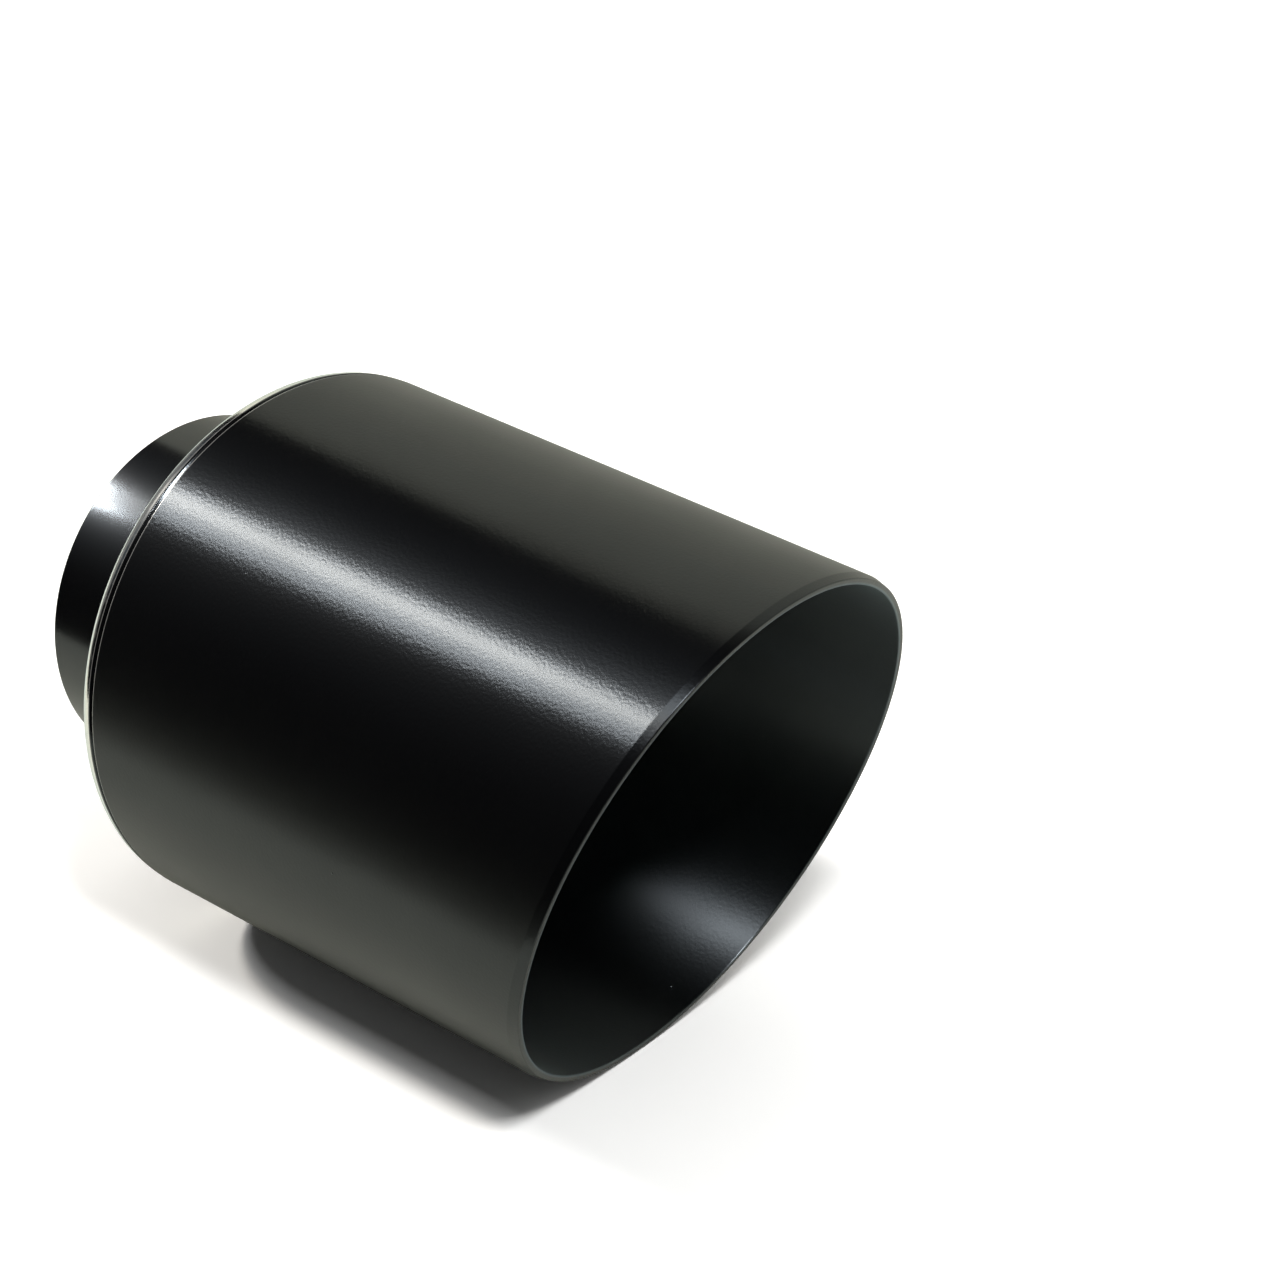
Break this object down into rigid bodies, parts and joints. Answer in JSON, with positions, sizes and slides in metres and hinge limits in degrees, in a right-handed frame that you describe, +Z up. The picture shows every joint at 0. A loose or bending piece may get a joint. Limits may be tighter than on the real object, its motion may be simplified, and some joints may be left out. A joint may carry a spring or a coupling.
{
  "type": "exhaust tip",
  "caption": "Black slash-cut exhaust tip: a wide round outlet sleeve, a pressed ring cap closing its back and a narrower inlet collar that slips over a tail pipe.",
  "frame": {"origin": "centre of the inlet collar's rear end, on the tube axis", "axes": "+X along the tube axis from the inlet to the mouth, +Z up as fitted behind a car, -Y towards the side that the long edge of the mouth leans to"},
  "size_m": [0.1544, 0.1016, 0.1016],
  "materials": {
    "sleeve_coat": "semi-gloss black coat with a fine orange peel on stainless tube",
    "cap_coat": "semi-gloss black coat on pressed sheet",
    "collar_coat": "smooth glossy black coat on stainless tube",
    "weld_coat": "rippled weld bead under the same black coat"
  },
  "bodies": {
    "root": {"outlet_sleeve": "sleeve_coat", "end_cap": "cap_coat", "inlet_collar": "collar_coat", "collar_weld": "weld_coat"}
  },
  "joints": []
}
